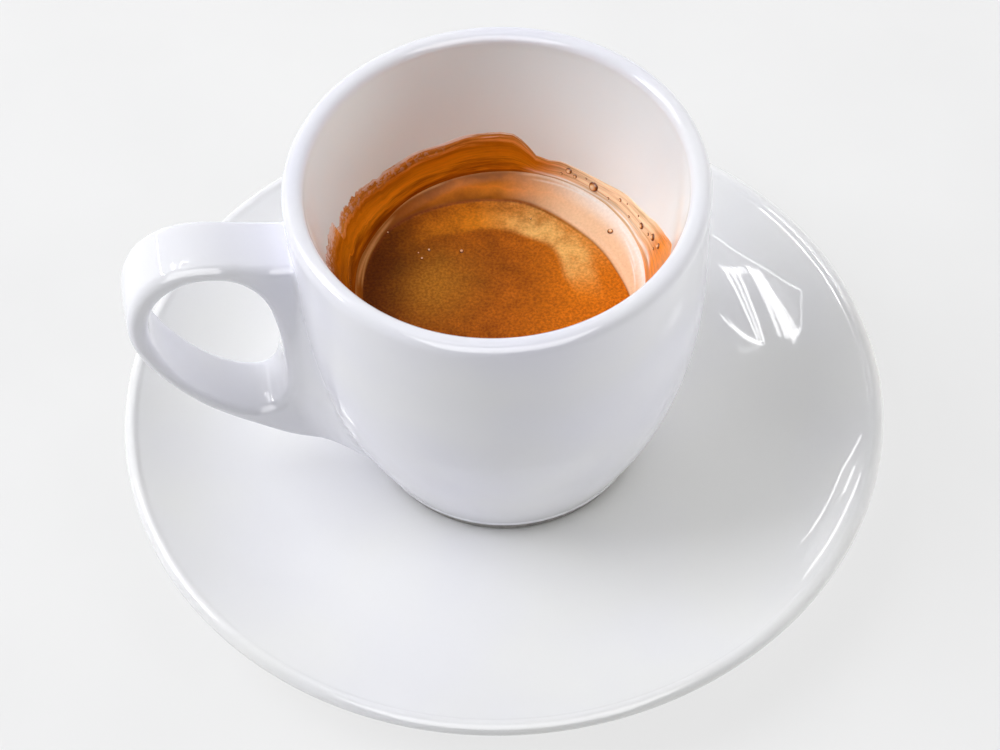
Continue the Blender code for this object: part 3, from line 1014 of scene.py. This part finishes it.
studio = {
    "floorColour": (0.2, 0.2, 0.2),
    "floorLight": (0.22, 0.22, 0.22),
    "floorGlow": 0.645,
    "floorSize": 2.5,
    "sky": (0.87, 0.87, 0.89),
    "skyStrength": 0.8,
    "middle": (0, 0, 0.03),
    "distance": 0.9,
    "softSize": 0.4,
    "leftTint": (0.96, 0.97, 1.0),
    "leftSide": (140, 220),
    # azimuth and elevation in degrees, and watts, of the soft lamps, which aren't seen in the glaze
    "soft": [
        (180, 60, 2.19), (180, 35, 2.97), (210, 35, 1.07), (150, 35, 1.37), (120, 12, 1.42), (90, 60, 0.23),
        (90, 35, 0.84), (330, 60, 0.34), (330, 35, 0.91), (30, 12, 0.93), (60, 35, 0.98), (0, 12, 2.28),
        (0, 60, 0.44), (0, 90, 0.32),
    ],
    # from and to directions, width in degrees and brightness of the window's bars, seen only in the glaze
    "bars": [
        ((144.5, 59.5), (126.6, 53.3), 1.2, 10),
        ((144.9, 58.7), (130.0, 51.2), 3.0, 11),
        ((140.0, 57.0), (132.8, 50.0), 3.0, 10),
        ((131.4, 62.7), (112.6, 56.3), 0.6, 13),
        ((135.2, 62.1), (114.3, 55.9), 0.5, 13),
        ((138.0, 61.3), (116.0, 55.5), 0.6, 14),
        ((129.7, 62.9), (141.3, 60.0), 1.2, 9),
        ((98.1, 57.7), (111.6, 56.3), 0.45, 12),
        ((101.3, 57.9), (114.1, 55.8), 0.45, 12),
        ((151.5, 64.3), (148.5, 61.5), 0.6, 9),
        ((148.5, 61.5), (147.5, 48.8), 0.5, 8),
        ((147.5, 48.8), (136.5, 49.0), 0.4, 6),
        ((136.5, 49.0), (129.5, 50.7), 0.6, 9),
        ((144.9, 55.6), (137.6, 50.1), 3.0, 1.5),
        ((94.5, 55.8), (114.9, 55.8), 0.4, 3),
        ((98.7, 57.6), (98.1, 57.9), 0.7, 6),
        ((96.5, 58.8), (95.7, 59.0), 0.7, 6),
        ((126.8, 26.7), (121.2, 26.5), 0.5, 11),
        ((121.2, 26.5), (113.6, 22.7), 0.5, 10),
        ((113.6, 22.7), (109.3, 22.4), 0.5, 6),
        ((122.4, 21.4), (118.0, 18.5), 0.5, 8),
        ((118.0, 18.5), (112.4, 14.1), 0.5, 7),
        ((112.4, 14.1), (106.9, 9.3), 0.5, 5),
        ((122.7, 24.0), (119.1, 22.2), 0.7, 8),
        ((123.5, 25.0), (110.7, 13.5), 5.0, 0.9),
        ((174.0, 52.4), (161.2, 45.7), 2.6, 60),
        ((161.2, 45.7), (149.1, 38.4), 2.2, 52),
        ((149.1, 38.4), (132.5, 27.0), 0.8, 24),
        ((80, 72), (125, 70), 12, 2.5),
        ((270, 15), (270, 88), 60, 5.5),
    ],
}


def directionOf(azimuth, elevation):
    # A unit vector: cosines of both angles along x and y, the sine of the elevation up.
    a, e = math.radians(azimuth), math.radians(elevation)
    return Vector((math.cos(a) * math.cos(e), math.sin(a) * math.cos(e), math.sin(e)))


def makeFloor():
    # A flat square under the saucer, a pale paper with a faint grain.
    h = studio["floorSize"]
    mesh = bpy.data.meshes.new("paleFloor")
    mesh.from_pydata([(-h, -h, 0), (h, -h, 0), (h, h, 0), (-h, h, 0)], [], [(0, 1, 2, 3)])
    floor = bpy.data.objects.new("paleFloor", mesh)
    bpy.context.scene.collection.objects.link(floor)
    n = Nodes("palePaper")
    grain = n.noise(30, 3)
    colour = n.ramp(grain, [(0.3, studio["floorColour"]), (0.7, studio["floorLight"])])
    n.put(n.shader.inputs["Base Color"], colour)
    n.put(n.shader.inputs["Emission Color"], (1, 1, 1, 1))
    n.put(n.shader.inputs["Emission Strength"], studio["floorGlow"])
    n.put(n.shader.inputs["Roughness"], 0.8)
    n.put(n.shader.inputs["Specular IOR Level"], 0.2)
    mesh.materials.append(n.material)


def makeWorld():
    # An even pale room, which the glaze mirrors but which sheds no light of its own.
    world = bpy.data.worlds.new("softRoom")
    bpy.context.scene.world = world
    world.use_nodes = True
    back = world.node_tree.nodes["Background"]
    back.inputs["Color"].default_value = (*studio["sky"], 1)
    back.inputs["Strength"].default_value = studio["skyStrength"]
    world.cycles_visibility.diffuse = False


def addLamp(name, place, turn, width, height, watts):
    # A white rectangle that shines along its own -Z.
    lamp = bpy.data.lights.new(name, "AREA")
    lamp.shape = "RECTANGLE"
    lamp.size, lamp.size_y = width, height
    lamp.energy = watts
    holder = bpy.data.objects.new(name, lamp)
    bpy.context.scene.collection.objects.link(holder)
    holder.matrix_world = Matrix.Translation(place) @ turn.to_4x4()
    return holder


def makeLights():
    # Soft lamps shade the porcelain; bars between two directions make the bright lines in its glaze.
    middle = Vector(studio["middle"])
    far = studio["distance"]
    leftFrom, leftTo = studio["leftSide"]
    for i, (azimuth, elevation, watts) in enumerate(studio["soft"]):
        away = directionOf(azimuth, elevation)
        turn = away.to_track_quat("Z", "Y").to_matrix()
        lamp = addLamp(f"soft{i}", middle + away * far, turn, studio["softSize"], studio["softSize"], watts)
        lamp.visible_glossy = False
        lamp.data.color = studio["leftTint"] if leftFrom < azimuth < leftTo else (1, 1, 1)
    for i, (start, end, width, bright) in enumerate(studio["bars"]):
        a, b = directionOf(*start), directionOf(*end)
        away = (a + b).normalized()
        along = (b - a).normalized()
        turn = Matrix((along, away.cross(along), away)).transposed()
        long, wide = (b - a).length * far, math.radians(width) * far
        lamp = addLamp(f"bar{i}", middle + away * far, turn, long, wide, bright * math.pi * long * wide)
        lamp.visible_diffuse = False


viewpoint = {
    "distance": 400.4,
    "elevation": 54.75,
    "target": (-0.21, 0.0, 18.98),
    "roll": -2.57,
    "lens": 90,
    "sensor": 36,
}


def makeCamera():
    # The camera looks down at the cup from the front, turned a little about its own axis.
    lens = bpy.data.cameras.new("photoCamera")
    lens.lens = viewpoint["lens"]
    lens.sensor_width = viewpoint["sensor"]
    lens.clip_start, lens.clip_end = 0.01, 10
    camera = bpy.data.objects.new("photoCamera", lens)
    bpy.context.scene.collection.objects.link(camera)
    away = directionOf(-90, viewpoint["elevation"]) * viewpoint["distance"]
    place = Vector((cupAxisX, away.y, away.z + cupBase)) * mm
    look = Vector(viewpoint["target"]) * mm - place
    turn = look.to_track_quat("-Z", "Y").to_matrix().to_4x4()
    roll = Matrix.Rotation(math.radians(viewpoint["roll"]), 4, "Z")
    camera.matrix_world = Matrix.Translation(place) @ turn @ roll
    bpy.context.scene.camera = camera


makeFloor()
makeWorld()
makeLights()
makeCamera()
bpy.context.scene.view_settings.view_transform = "Standard"
print("studio ready")
